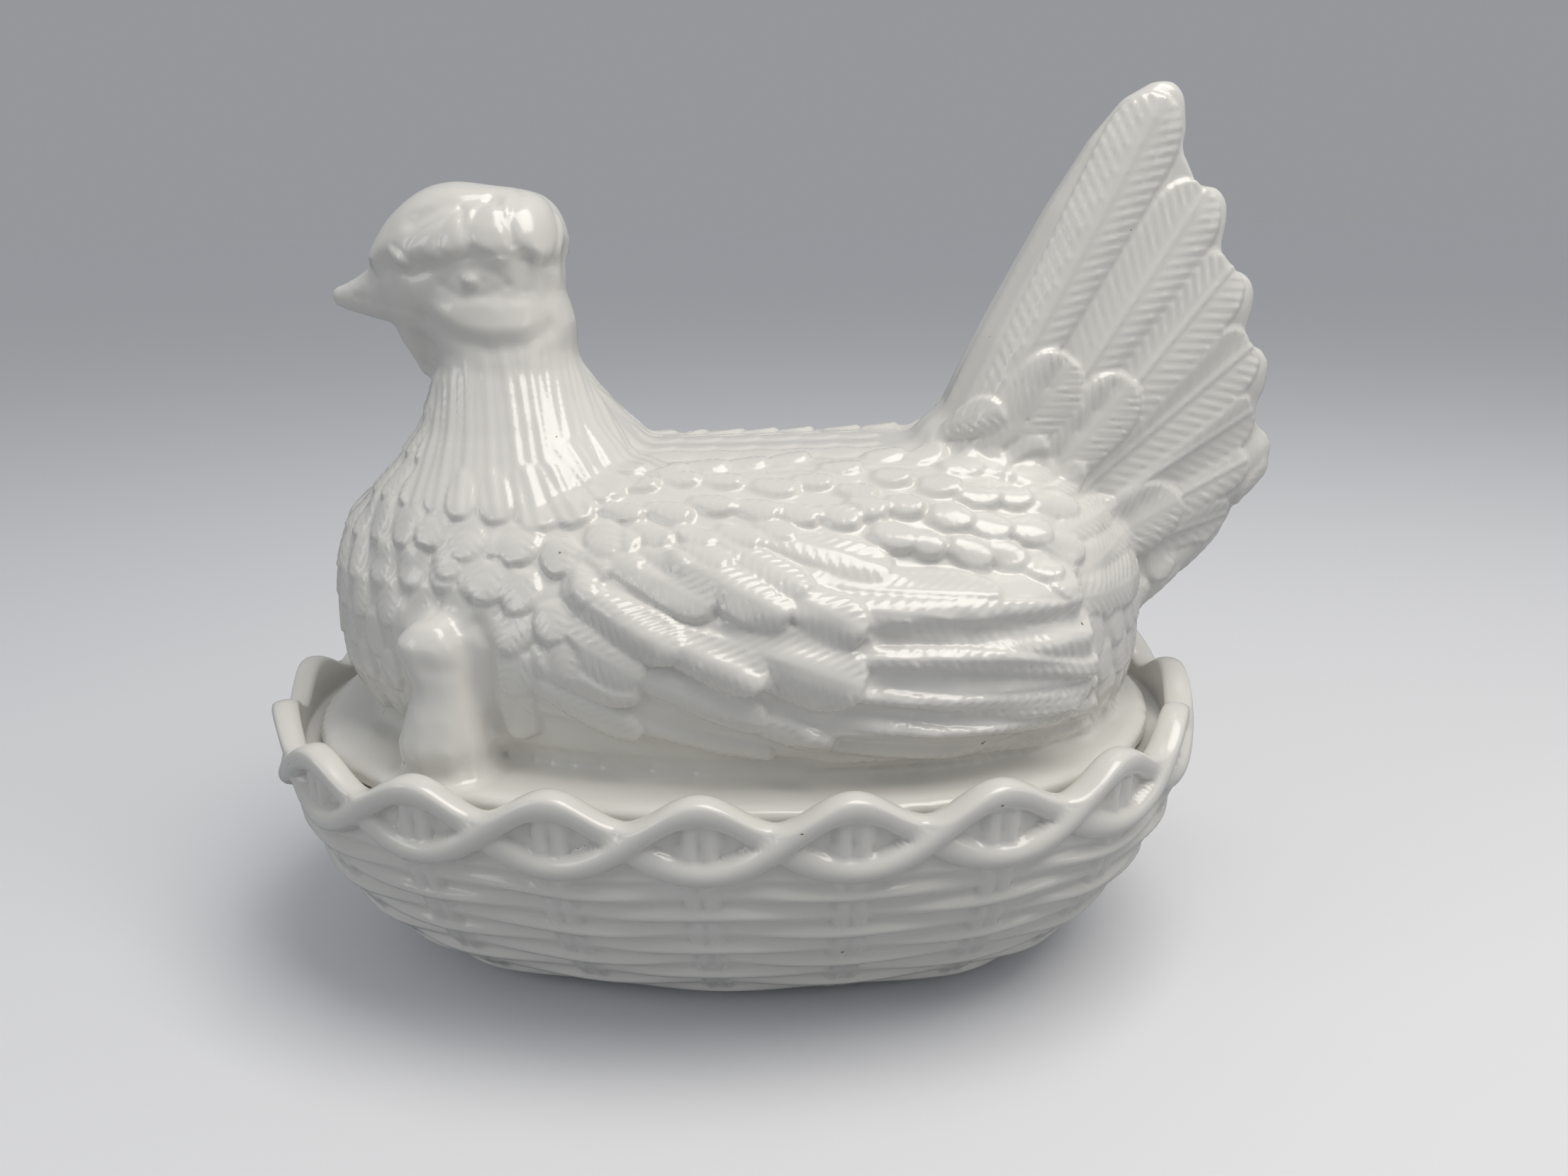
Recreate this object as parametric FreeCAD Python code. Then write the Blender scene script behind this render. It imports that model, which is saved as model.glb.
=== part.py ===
"""Covered dish: a sitting hen, hollow and open underneath, resting in an oval basket.

Two slip-cast pieces. The nest dish is an oval basket with a scalloped, braided rim and
a ledge inside it. The hen cover is one casting: flange, body, neck, head, wings and tail,
with a chick looking out from under each wing. It lifts straight off the ledge.
Millimetres. +Z is up, the table is z = 0, the head looks along -X, the tail along +X.
The origin is on the table, under the middle of the overall length.
"""
import FreeCAD, Part
import math
import os

from FreeCAD import Vector

# Dish: plan of the rim's middle line, an oval of four arcs
rim_half_length = 121.0
rim_half_width = 84.0
rim_end_radius = 78.0

# Dish: scallops and braid
scallop_count = 20
valley_height = 68.0
scallop_rise = 6.5
rim_round = 1.6
braid_crown = 3.8
braid_floor = 1.2
upper_strand = 5.0
lower_strand = 4.0
strand_edge = 1.2
eye_height = 10.5
eye_rise = 0.4
eye_gap = 0.6

# Dish: walls, ledge and foot
dish_wall = 5.0
floor_thickness = 6.0
foot_inset = 41.0
foot_height = 3.0
foot_ring = 6.0
foot_recess = 2.0
bowl_height = 56.0
bowl_round_share = 1.5
weaver_courses = 5
weaver_height = 8.8
weaver_relief = 1.3
seat_height = 62.0
ledge_width = 8.0
ledge_depth = 6.0
well_height_shares = (0.6, 0.25, 0.0)

# Cover: flange that sits on the ledge, and the wall of the casting
rim_clearance = 4.2
flange_thickness = 5.0
flange_round = 1.4
cover_wall = 4.5
mouth_inset = 24.0
mouth_height = 24.0

# Hen body: reach from the middle of the dish, widest half width, height of the back
breast_reach = 104.0
rump_reach = 109.0
body_half_width = 66.0
back_height = 137.0
# Rows are shares of length along, of the height above the seat for low and high, of width
body_shares = (
    (0.0, 0.306, 0.598, 0.12), (0.014, 0.16, 0.744, 0.33), (0.047, 0.05, 0.872, 0.51),
    (0.113, -0.06, 0.945, 0.69), (0.23, -0.17, 0.993, 0.85), (0.394, -0.224, 0.993, 0.96),
    (0.582, -0.224, 1.0, 1.0), (0.746, -0.187, 1.013, 0.94), (0.864, -0.114, 0.963, 0.79),
    (0.939, -0.023, 0.836, 0.58), (0.981, 0.105, 0.671, 0.33), (1.0, 0.269, 0.507, 0.12))

# Neck: rows are shares of height up the neck, of breast reach, and of half width
neck_low = 108.0
neck_high = 174.0
neck_half_width = 50.0
neck_shares = (
    (0.0, -0.92, -0.08, 1.0), (0.15, -0.93, -0.115, 0.94), (0.29, -0.894, -0.144, 0.84),
    (0.42, -0.817, -0.192, 0.71), (0.53, -0.764, -0.26, 0.6), (0.64, -0.736, -0.317, 0.51),
    (0.74, -0.721, -0.353, 0.44), (0.86, -0.721, -0.365, 0.41), (1.0, -0.75, -0.385, 0.39))

# Head: rows are shares of head length, of head height for low and high, of half width
head_front_x = -89.0
head_length = 50.2
head_low = 160.0
head_height = 42.0
head_half_width = 20.5
head_shares = (
    (0.0, 0.23, 0.57, 0.37), (0.06, 0.155, 0.69, 0.585), (0.16, 0.07, 0.833, 0.756),
    (0.3, 0.012, 0.952, 0.9), (0.458, 0.0, 1.0, 0.976), (0.637, 0.0, 0.976, 1.0),
    (0.817, 0.024, 0.943, 0.9), (0.936, 0.095, 0.857, 0.68), (1.0, 0.31, 0.69, 0.29))
# Comb: laid over the head, its lower edge hangs in lobes; shares of head length and height
comb_relief = 1.5
comb_depth = 4.0
comb_lobes = 5
comb_lobe_steps = 4
comb_arc_steps = 9
comb_inner_step = 3
comb_front_share = 0.06
comb_rear_share = 0.97
comb_edge_share = 0.62
comb_lobe_share = 0.08
comb_top_share = 0.75

# Beak: rows are shares of beak length, of head height, and of beak half width
beak_tip_x = -100.3
beak_length = 22.3
beak_half_width = 11.0
beak_shares = (
    (0.0, 0.31, 0.385, 0.145), (0.058, 0.28, 0.402, 0.255), (0.238, 0.245, 0.438, 0.436),
    (0.44, 0.22, 0.5, 0.636), (0.64, 0.18, 0.571, 0.864), (1.0, 0.167, 0.643, 1.0))

# Wattle under the beak: rows are shares of its height, of its length, of its half width
wattle_low = 153.0
wattle_height = 20.0
wattle_x = -76.0
wattle_half_length = 8.5
wattle_half_width = 9.0
wattle_shares = (
    (0.0, -0.3, 0.2, 0.2), (0.15, -0.55, 0.7, 0.6), (0.4, -0.85, 1.0, 0.9),
    (0.65, -1.0, 1.0, 1.0), (1.0, -0.9, 1.0, 1.0))

# Tail: feathers fan from the rump; rows give root x, root height, tip x, tip height
tail_reach = 140.6
tail_tip_height = 221.5
tail_half_width = 13.0
tail_half_thickness = 26.0
# Places are shares of the tail's reach and tip height, then of half width and thickness
tail_shares = (
    (0.413, 0.56, 0.782, 1.0, 1.0, 1.0), (0.455, 0.542, 0.872, 0.89, 1.0, 1.0),
    (0.498, 0.515, 0.936, 0.797, 1.0, 1.0), (0.54, 0.488, 0.977, 0.713, 1.0, 0.95),
    (0.597, 0.46, 1.0, 0.618, 0.92, 0.9), (0.683, 0.415, 0.939, 0.56, 0.7, 0.8))
covert_shares = (
    (0.34, 0.57, 0.535, 0.678, 0.7, 1.06), (0.38, 0.54, 0.605, 0.718, 0.8, 1.07),
    (0.43, 0.50, 0.733, 0.683, 0.95, 1.08), (0.50, 0.46, 0.84, 0.565, 0.95, 1.06),
    (0.55, 0.43, 0.765, 0.475, 0.85, 1.0))
# Rows along one feather are shares of its length, half width and half thickness
feather_shares = (
    (0.0, 0.9, 1.0), (0.35, 1.05, 0.78), (0.65, 1.05, 0.52), (0.82, 0.95, 0.36),
    (0.92, 0.76, 0.27), (0.98, 0.42, 0.19), (1.0, 0.15, 0.1))

# The plate that joins the feathers: rows are shares of their length and half thickness
fan_shares = ((0.0, 0.92), (0.35, 0.72), (0.65, 0.48), (0.82, 0.33), (0.95, 0.2))

# Wings: patches that stand out from the body and end free over the rump
# Rows are shares of the body's rows, of the height above the seat twice, of wing relief
wing_relief = 5.0
wing_depth = 6.0
wing_arc_steps = 8
wing_shares = (
    (0.377, 0.342, 0.525, 0.05), (0.41, 0.269, 0.671, 0.45), (0.4545, 0.224, 0.763, 0.65),
    (0.505, 0.169, 0.827, 0.75), (0.545, 0.141, 0.817, 0.8), (0.59, 0.132, 0.753, 0.85),
    (0.636, 0.132, 0.699, 0.95), (0.687, 0.16, 0.644, 1.05), (0.727, 0.196, 0.58, 1.1),
    (0.76, 0.269, 0.507, 1.05), (0.775, 0.342, 0.433, 0.8))
# Flight feathers: rows give the front and rear place and the two edges of each
feather_relief = 1.6
feather_steps = 5
feather_arc_steps = 3
patch_edge_share = 0.08
flight_relief_shares = ((0.7,), (0.9,), (1.05,), (0.95,))
flight_shares = (
    (0.51, 0.752, 0.561, 0.708), (0.54, 0.766, 0.433, 0.556), (0.555, 0.764, 0.324, 0.428),
    (0.55, 0.75, 0.224, 0.319))

# Wing coverts: rows give front, rear, the height at both, half height and wing relief
covert_relief = 2.0
covert_arc_steps = 3
wing_covert_shares = (
    (0.51, 0.59, 0.542, 0.404, 0.118, 1.0), (0.46, 0.533, 0.598, 0.419, 0.09, 0.95),
    (0.525, 0.59, 0.727, 0.572, 0.086, 0.85), (0.483, 0.547, 0.78, 0.622, 0.086, 0.8),
    (0.43, 0.49, 0.696, 0.508, 0.086, 0.75))
# Rows along one covert are shares of its length, of its half height and of its relief
leaf_shares = ((0.0, 0.6, 0.5), (0.45, 1.0, 0.85), (0.85, 0.9, 1.0), (1.0, 0.45, 0.95))

# Chicks: rows are shares of chick height up, and of chick size along and across
chick_height = 43.0
chick_size = 9.0
chick_x = -63.0
chick_y = 53.0
chick_shares = (
    (0.0, -1.3, 1.2, 1.2), (0.3, -1.35, 1.2, 1.3), (0.48, -1.05, 1.0, 1.1),
    (0.62, -0.8, 0.85, 0.95), (0.76, -1.0, 0.85, 1.0), (0.88, -1.15, 0.75, 0.95),
    (0.97, -0.7, 0.45, 0.65), (1.0, -0.3, 0.2, 0.3))

# Clearances and overruns
overrun = 5.0
flatness = 0.000001

# How full the rounded sections are: 2 is an ellipse, more is squarer
fullness = 2.3

# Sides and rows of the many-sided sections
scallop_steps = 6
flange_steps = 3
body_sides = 24
body_rows = 14
head_sides = 18
head_rows = 8
small_sides = 12
small_rows = 6
hollow_sides = 16
hollow_rows = 9

# The tail overhangs the dish, so the dish stands this far towards the head
dish_reach = rim_half_length + braid_crown
dish_shift = -(tail_reach - dish_reach) / 2


def oval_point(turn, offset):
    """A point of the rim's oval at a share of one turn, moved out by offset."""
    middle = rim_half_length - rim_end_radius
    side_radius = (middle**2 + rim_half_width**2 - rim_end_radius**2) / (
        2 * (rim_half_width - rim_end_radius))
    joint = math.atan2(side_radius - rim_half_width, middle)
    end_length = rim_end_radius * joint
    quarter = end_length + side_radius * (math.pi / 2 - joint)
    quadrant = int(4 * turn) % 4
    along = 4 * turn - int(4 * turn)
    if quadrant % 2:
        along = 1 - along
    length = along * quarter
    if length < end_length:
        angle = length / rim_end_radius
        x = middle + (rim_end_radius + offset) * math.cos(angle)
        y = (rim_end_radius + offset) * math.sin(angle)
    else:
        angle = joint + (length - end_length) / side_radius
        x = (side_radius + offset) * math.cos(angle)
        y = (side_radius + offset) * math.sin(angle) - (side_radius - rim_half_width)
    x_sign = -1 if quadrant in (1, 2) else 1
    y_sign = -1 if quadrant in (2, 3) else 1
    return x_sign * x, y_sign * y


def oval_ring(offset, height, steps):
    """Corners of a many-sided oval; height may follow the place between two scallops."""
    count = scallop_count * steps
    corners = []
    for step in range(count):
        up = height(step / steps) if callable(height) else height
        x, y = oval_point(step / count, offset)
        corners.append(Vector(x, y, up))
    return corners


def flat_faces(corners):
    """One flat face through four corners, or two where the corners don't lie in a plane."""
    a, b, c, d = corners
    normal = (c - a).cross(d - b)
    if abs((b - a).dot(normal)) < flatness * normal.Length:
        return [Part.Face(Part.makePolygon([a, b, c, d, a]))]
    return [Part.Face(Part.makePolygon(three)) for three in ([a, b, c, a], [a, c, d, a])]


def skin(rings):
    """A closed solid through rings of corners, flat between corners and flat at both ends."""
    faces = [Part.Face(Part.makePolygon(ring + [ring[0]])) for ring in (rings[0], rings[-1])]
    for low, high in zip(rings, rings[1:]):
        for side in range(len(low)):
            after = (side + 1) % len(low)
            faces += flat_faces([low[side], low[after], high[after], high[side]])
    solid = Part.Solid(Part.Shell(faces))
    if solid.Volume < 0:
        solid.reverse()
    return solid


def oval_solid(rows, steps=scallop_steps):
    """A solid through ovals, each an offset from the rim's middle line and a height."""
    return skin([oval_ring(offset, height, steps) for offset, height in rows])


def peak(place):
    """1 at the top of a scallop, 0 in the valley between two."""
    return 0.5 + 0.5 * math.cos(2 * math.pi * place)


def bowl_offset(height):
    """How far the outside of the bowl stands from the rim's middle line at a height."""
    share = min(1.0, height / bowl_height)
    curve = (1 - (1 - share) ** bowl_round_share) ** (1 / bowl_round_share)
    return -foot_inset * (1 - curve) + braid_floor * curve


def raised(curve, rise):
    """The same wavy height, moved up by rise."""
    return lambda place: curve(place) + rise


def rim_top(place):
    """The top of the rim: round scallops with a valley between each two."""
    return valley_height + scallop_rise * peak(place)


def eye_top(place):
    """The upper edge of the eye-shaped hollow under each scallop."""
    return valley_height - upper_strand + (scallop_rise - eye_rise) * peak(place)


def eye_bottom(place):
    """The lower edge of the hollow, which closes to a groove at each valley."""
    return eye_top(place) - eye_gap - (eye_height - eye_gap) * peak(place)


def braid_bottom(place):
    """The lower edge of the lower strand."""
    return eye_bottom(place) - lower_strand


def weaver_rows():
    """Outside of the basket: weaver courses that stand out one above the other."""
    rows = []
    for course in range(weaver_courses):
        low = foot_height + course * weaver_height
        middle = low + weaver_height / 2
        rows.append((bowl_offset(low), low))
        rows.append((bowl_offset(middle) + weaver_relief, middle))
    top = foot_height + weaver_courses * weaver_height
    rows.append((bowl_offset(top), top))
    return rows


def braid_rows():
    """Outside and top of the rim: two strands that part round an eye at each scallop."""
    return [
        (braid_floor, braid_bottom),
        (braid_crown, raised(braid_bottom, strand_edge)),
        (braid_crown, raised(eye_bottom, -strand_edge)),
        (braid_floor, eye_bottom),
        (braid_floor, eye_top),
        (braid_crown, raised(eye_top, strand_edge)),
        (braid_crown, raised(rim_top, -rim_round)),
        (braid_crown - rim_round, rim_top),
        (rim_round - braid_crown, rim_top),
        (braid_floor - dish_wall, raised(rim_top, -rim_round)),
    ]


def well_rows():
    """Inside of the dish: the mouth, the ledge that carries the cover, then the bowl."""
    mouth = braid_floor - dish_wall
    ledge = mouth - ledge_width
    low = seat_height - ledge_depth
    rows = [(mouth, seat_height), (ledge, seat_height), (ledge, low)]
    for share in well_height_shares:
        height = floor_thickness + (low - floor_thickness) * share
        rows.append((bowl_offset(height) - dish_wall, height))
    return rows


def foot_rows():
    """Under the dish: a recess inside the ring that it stands on."""
    outside = bowl_offset(0.0)
    inside = outside - foot_ring
    return [(inside, foot_recess), (inside, 0.0), (outside, 0.0)]


def nest_dish():
    """The oval basket that the hen sits in: one wall from the foot over the rim to the floor."""
    return oval_solid(foot_rows() + weaver_rows() + braid_rows() + well_rows())


def eased_row(rows, share):
    """One row of a table at a share of its length, on a smooth curve through the rows."""
    last = len(rows) - 1
    at = min(int(share * last), last - 1)
    t = share * last - at
    before, low, high, after = (rows[min(max(at + k, 0), last)] for k in (-1, 0, 1, 2))
    row = []
    for p, q, r, s in zip(before, low, high, after):
        bend = (2 * p - 5 * q + 4 * r - s) * t**2 + (3 * q - p - 3 * r + s) * t**3
        row.append(q + ((r - p) * t + bend) / 2)
    return row


def eased(rows, count):
    """The same table drawn in count steps."""
    return [eased_row(rows, step / count) for step in range(count + 1)]


def section_point(angle):
    """A point of the rounded section that all forms share, in shares from -1 to 1."""
    cos, sin = math.cos(angle), math.sin(angle)
    return (math.copysign(abs(cos) ** (2 / fullness), cos),
            math.copysign(abs(sin) ** (2 / fullness), sin))


def ring(place, sides):
    """Corners of a rounded section; place turns shares from -1 to 1 into a point."""
    corners = []
    for side in range(sides):
        corners.append(place(*section_point(2 * math.pi * (side + 1 / 2) / sides)))
    return corners


def across_x(x, low, high, half_width, sides):
    """A section that faces along X."""
    middle, reach = (low + high) / 2, (high - low) / 2
    return ring(lambda u, v: Vector(x, half_width * u, middle + reach * v), sides)


def across_z(z, low, high, half_width, sides, y=0.0):
    """A section that faces along Z."""
    middle, reach = (low + high) / 2, (high - low) / 2
    return ring(lambda u, v: Vector(middle + reach * v, y + half_width * u, z), sides)


def above_seat(share):
    """A height at a share of the way from the seat of the cover to the hen's back."""
    return seat_height + share * (back_height - seat_height)


def body_row(share, grow=0.0):
    """Place along, low, high and half width of the body at a share of its rows."""
    along, low, high, wide = eased_row(body_shares, share)
    x = -breast_reach + along * (breast_reach + rump_reach) + grow * (2 * along - 1)
    return (x, above_seat(low) - grow, above_seat(high) + grow,
            wide * body_half_width + grow)


def body(grow=0.0, count=body_rows, sides=body_sides):
    """The hen's body, from breast to rump, moved out by grow all round."""
    rows = [body_row(step / count, grow) for step in range(count + 1)]
    return skin([across_x(*row, sides) for row in rows])


def neck(grow=0.0, count=head_rows, sides=body_sides):
    """The neck, flaring into the breast and shoulders."""
    rings = []
    for up, front, back, wide in eased(neck_shares, count):
        z = neck_low + up * (neck_high - neck_low)
        rings.append(across_z(z, front * breast_reach - grow, back * breast_reach + grow,
                              wide * neck_half_width + grow, sides))
    return skin(rings)


def head(grow=0.0):
    """The head with its comb on, from the root of the beak to the back."""
    rings = []
    for along, low, high, wide in eased(head_shares, head_rows):
        x = head_front_x + along * head_length + grow * (2 * along - 1)
        rings.append(across_x(x, head_low + low * head_height - grow,
                              head_low + high * head_height + grow,
                              wide * head_half_width + grow, head_sides))
    return skin(rings)


def comb():
    """The low comb laid over the head, with a row of lobes along its lower edge."""
    rings = []
    for step in range(comb_lobes * comb_lobe_steps + 1):
        lobe = step / comb_lobe_steps
        along = comb_front_share + (comb_rear_share - comb_front_share) * lobe / comb_lobes
        at, low, high, wide = eased_row(head_shares, along)
        edge = comb_edge_share - comb_lobe_share * abs(math.sin(math.pi * lobe))
        start = 2 * (edge - low) / (high - low) - 1
        angle = math.asin(max(0.0, min(comb_top_share, start)) ** (fullness / 2))
        x = head_front_x + at * head_length
        middle = head_low + (low + high) / 2 * head_height
        outer, inner = [], []
        for corner in range(comb_arc_steps + 1):
            turn = angle + (math.pi - 2 * angle) * corner / comb_arc_steps
            across, up = section_point(turn)
            reach = (high - low) / 2 * head_height
            half_width = wide * head_half_width
            outer.append(Vector(x, half_width * across, middle + reach * up))
            if corner % comb_inner_step == 0:
                inner.append(Vector(x, (half_width - comb_depth) * across,
                                    middle + (reach - comb_depth) * up))
        rings.append(outer + inner[::-1])
    return skin(rings)


def beak():
    """The pointed beak."""
    rings = []
    for along, low, high, wide in eased(beak_shares, small_rows):
        rings.append(across_x(beak_tip_x + along * beak_length, head_low + low * head_height,
                              head_low + high * head_height, wide * beak_half_width,
                              small_sides))
    return skin(rings)


def wattle():
    """The lobe under the beak."""
    rings = []
    for up, front, back, wide in eased(wattle_shares, small_rows):
        rings.append(across_z(wattle_low + up * wattle_height,
                              wattle_x + front * wattle_half_length,
                              wattle_x + back * wattle_half_length,
                              wide * wattle_half_width, small_sides))
    return skin(rings)


def tail_feather(root_x, root_z, tip_x, tip_z, wide, thick):
    """One tail feather: thick at the rump, thin and rounded at its tip."""
    root = Vector(root_x * tail_reach, 0, root_z * tail_tip_height)
    tip = Vector(tip_x * tail_reach, 0, tip_z * tail_tip_height)
    along = tip - root
    side = Vector(along.z, 0, -along.x).normalize() * wide * tail_half_width
    depth = Vector(0, thick * tail_half_thickness, 0)
    rings = []
    for share, width_share, thickness_share in feather_shares:
        middle, half, deep = root + along * share, side * width_share, depth * thickness_share
        rings.append(ring(lambda u, v: middle + half * u + deep * v, small_sides))
    return skin(rings)


def tail_fan():
    """The plate that joins the tail feathers, so that only their tips stand free."""
    rings = []
    for root_x, root_z, tip_x, tip_z, wide, thick in tail_shares:
        root = Vector(root_x * tail_reach, 0, root_z * tail_tip_height)
        along = Vector(tip_x * tail_reach, 0, tip_z * tail_tip_height) - root
        face = [root + along * share + Vector(0, deep * thick * tail_half_thickness, 0)
                for share, deep in fan_shares]
        rings.append(face + [Vector(point.x, -point.y, point.z) for point in reversed(face)])
    return skin(rings)


def tail():
    """The fan of tail feathers, with a row of shorter coverts over their roots."""
    return [tail_fan()] + [tail_feather(*row) for row in tail_shares + covert_shares]


def patch_ring(share, low, high, relief, steps):
    """A section that stands out from one side of the body between two heights."""
    x, body_low, body_high, half_width = body_row(share)
    middle, reach = (body_low + body_high) / 2, (body_high - body_low) / 2
    corners = []
    for step in range(steps + 1):
        up = step / steps
        z = low + (high - low) * up
        level = min(1.0, abs(z - middle) / reach)
        skin_y = half_width * (1 - level**fullness) ** (1 / fullness)
        out = relief * math.sin(math.pi * (patch_edge_share + (1 - 2 * patch_edge_share) * up))
        corners.append(Vector(x, -skin_y - out, z))
    inside = corners[0].y + wing_depth, corners[-1].y + wing_depth
    return corners + [Vector(x, max(inside), high), Vector(x, max(inside), low)]


def wing_covert(front, rear, front_height, rear_height, half_height, out):
    """One large feather at the front of the wing, with a rounded tip to the rear."""
    rings = []
    for along, wide, rise in leaf_shares:
        middle = front_height + (rear_height - front_height) * along
        low, high = middle - wide * half_height, middle + wide * half_height
        relief = rise * (out * wing_relief + covert_relief)
        rings.append(patch_ring(front + (rear - front) * along, above_seat(low),
                                above_seat(high), relief, covert_arc_steps))
    return skin(rings)


def wing():
    """One folded wing, from shoulder to free tip, with its flight feathers and coverts."""
    rings = []
    for share, low, high, out in wing_shares:
        rings.append(patch_ring(share, above_seat(low), above_seat(high),
                                out * wing_relief, wing_arc_steps))
    panels = [skin(rings)]
    for front, rear, low, high in flight_shares:
        rings = []
        for step in range(feather_steps + 1):
            along = step / feather_steps
            share = front + (rear - front) * along
            out = eased_row(flight_relief_shares, along)[0] * wing_relief
            rings.append(patch_ring(share, above_seat(low), above_seat(high),
                                    out + feather_relief, feather_arc_steps))
        panels.append(skin(rings))
    return panels + [wing_covert(*row) for row in wing_covert_shares]


def chick():
    """A chick that looks out from under the hen, with its beak to the front."""
    rings = []
    for up, front, back, wide in chick_shares:
        rings.append(across_z(seat_height + up * chick_height, chick_x + front * chick_size,
                              chick_x + back * chick_size, wide * chick_size, small_sides,
                              -chick_y))
    return skin(rings)


def flange():
    """The rounded oval plate that sits on the ledge of the dish."""
    edge = braid_floor - dish_wall - rim_clearance
    top = seat_height + flange_thickness
    return oval_solid([
        (edge - flange_round, seat_height), (edge, seat_height + flange_round),
        (edge, top - flange_round), (edge - flange_round, top)], flange_steps)


def cover_hollow():
    """Space inside the hen, open under the flange."""
    mouth = braid_floor - dish_wall - rim_clearance - mouth_inset
    mouth_rows = [(mouth, seat_height - overrun), (mouth, seat_height + mouth_height)]
    return (body(-cover_wall, hollow_rows, hollow_sides),
            neck(-cover_wall, small_rows, hollow_sides), oval_solid(mouth_rows, flange_steps))


def hen_cover():
    """The hen: one hollow casting with its flange."""
    forms = [neck(), head(-comb_relief), comb(), beak(), wattle()] + tail()
    for form in wing() + [chick()]:
        forms += [form, form.mirror(Vector(0, 0, 0), Vector(0, 1, 0))]
    hen = body().multiFuse(forms)
    size = 4 * rump_reach
    cut_height = seat_height + flange_thickness / 2
    below = Part.makeBox(size, size, size, Vector(-size / 2, -size / 2, cut_height - size))
    return hen.cut(below).fuse(flange()).cut(cover_hollow())


if __name__ == "__main__":
    os.makedirs("parts", exist_ok=True)
    for name, make in (("nest_dish", nest_dish), ("hen_cover", hen_cover)):
        solid = make()
        solid.translate(Vector(dish_shift, 0, 0))
        solid.exportStep("parts/" + name + ".step")
        print(name, len(solid.Solids), round(solid.Volume), solid.isValid())
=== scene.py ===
# %% [markdown]
# # A hen on her nest: a covered dish in white glazed pottery
#
# The real dish is two slip castings: an oval basket, and a hollow hen that lifts off it. The
# frame holds a plain solid for each. This script gives them the relief of the real thing: a
# braided rim, a woven wall, and feathers over the whole hen. It starts by loading the solids,
# with a helper for the box of a solid, and leaves nothing selected, because an operator acts on
# all that is.

# %% Load the frame
import math

import bmesh
import bpy
import numpy as np
from mathutils import Matrix, Vector
from mathutils.bvhtree import BVHTree


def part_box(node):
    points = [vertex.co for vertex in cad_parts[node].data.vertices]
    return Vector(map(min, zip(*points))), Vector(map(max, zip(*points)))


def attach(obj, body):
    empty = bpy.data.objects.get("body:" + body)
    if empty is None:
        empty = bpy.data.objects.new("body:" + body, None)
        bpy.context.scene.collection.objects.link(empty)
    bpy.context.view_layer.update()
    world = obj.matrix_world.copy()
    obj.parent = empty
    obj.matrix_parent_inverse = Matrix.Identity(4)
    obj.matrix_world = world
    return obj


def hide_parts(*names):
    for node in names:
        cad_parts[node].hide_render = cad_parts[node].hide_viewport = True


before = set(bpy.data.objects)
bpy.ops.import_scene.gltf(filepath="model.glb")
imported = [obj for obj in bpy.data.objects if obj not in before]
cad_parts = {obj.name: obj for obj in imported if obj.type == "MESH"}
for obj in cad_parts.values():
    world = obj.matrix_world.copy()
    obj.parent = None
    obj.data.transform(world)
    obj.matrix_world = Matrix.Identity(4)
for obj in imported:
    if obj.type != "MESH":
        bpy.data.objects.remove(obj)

bpy.context.view_layer.update()
bpy.ops.object.select_all(action="DESELECT")

# %% [markdown]
# ## Places and sizes
#
# These are the solids' own numbers, in millimetres about the middle of the dish. `MM` turns
# them into metres, and `SHIFT` is how far the dish's middle stands from the origin. The rim is
# an oval of four arcs, so it needs half a length, half a width and the radius of its ends.
# `GROUND` is the surface that the braid lies on, measured out from the rim's middle line.

# %% Places and sizes
MM = 0.001
SHIFT = -7.9
RIM_LENGTH, RIM_WIDTH, RIM_END = 121.0, 84.0, 78.0
SCALLOPS, PITCH = 20, 32.6
WALL, SEAT, LEDGE, LEDGE_LOW = 5.0, 62.0, 8.0, 56.0
GROUND = 1.2
FOOT_INSET, BOWL_HEIGHT, FLOOR = 41.0, 56.0, 6.0
print("rim", 2 * RIM_LENGTH, "x", 2 * RIM_WIDTH, "mm")

# %% [markdown]
# Both pieces are shaped by moving vertices, and a slider in edit mode is too slow for a
# hundred thousand of them. These helpers read all the vertices of a mesh as one table of
# numbers and write them back. A soft ramp between two values is the other tool used throughout.

# %% Helpers for vertices
def smooth_step(low, high, x):
    """0 below low, 1 above high, and a soft ramp between."""
    t = np.clip((x - low) / (high - low), 0, 1)
    return t * t * (3 - 2 * t)


def from_metres(point):
    """A point of the scene in millimetres about the middle of the dish."""
    return np.array(point) / MM - [SHIFT, 0, 0]


def points_of(obj):
    """An object's vertices in millimetres about the middle of the dish."""
    flat = np.empty(len(obj.data.vertices) * 3, np.float32)
    obj.data.vertices.foreach_get("co", flat)
    return flat.reshape(-1, 3).astype(float) / MM - np.array([SHIFT, 0, 0])


def normals_of(obj):
    """An object's vertex normals."""
    flat = np.empty(len(obj.data.vertices) * 3, np.float32)
    obj.data.vertex_normals.foreach_get("vector", flat)
    return flat.reshape(-1, 3).astype(float)


def put(obj, points):
    """Moves an object's vertices to points in millimetres about the middle of the dish."""
    moved = (points + np.array([SHIFT, 0, 0])) * MM
    obj.data.vertices.foreach_set("co", moved.astype(np.float32).ravel())
    obj.data.update()


print("half a ramp gives", smooth_step(0, 1, 0.5))

# %% [markdown]
# ## The camera of the photograph
#
# A camera can be set by eye, but here its place, direction and lens were fitted to the oval of
# the rim. That pays twice: it frames the final picture, and `sight` tells which way any pixel
# of the photograph looks, which later lays every feather where the photograph shows it.

# %% The directions of the camera
PHOTO_WIDTH, PHOTO_HEIGHT, FOCAL = 2212, 1659, 1660.0
SENSOR_WIDTH = 36
CAMERA = np.array([31.52, -307.31, 190.77])
YAW, PITCH_DOWN, ROLL = map(math.radians, (-3.14, -17.27, -1.05))

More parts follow.
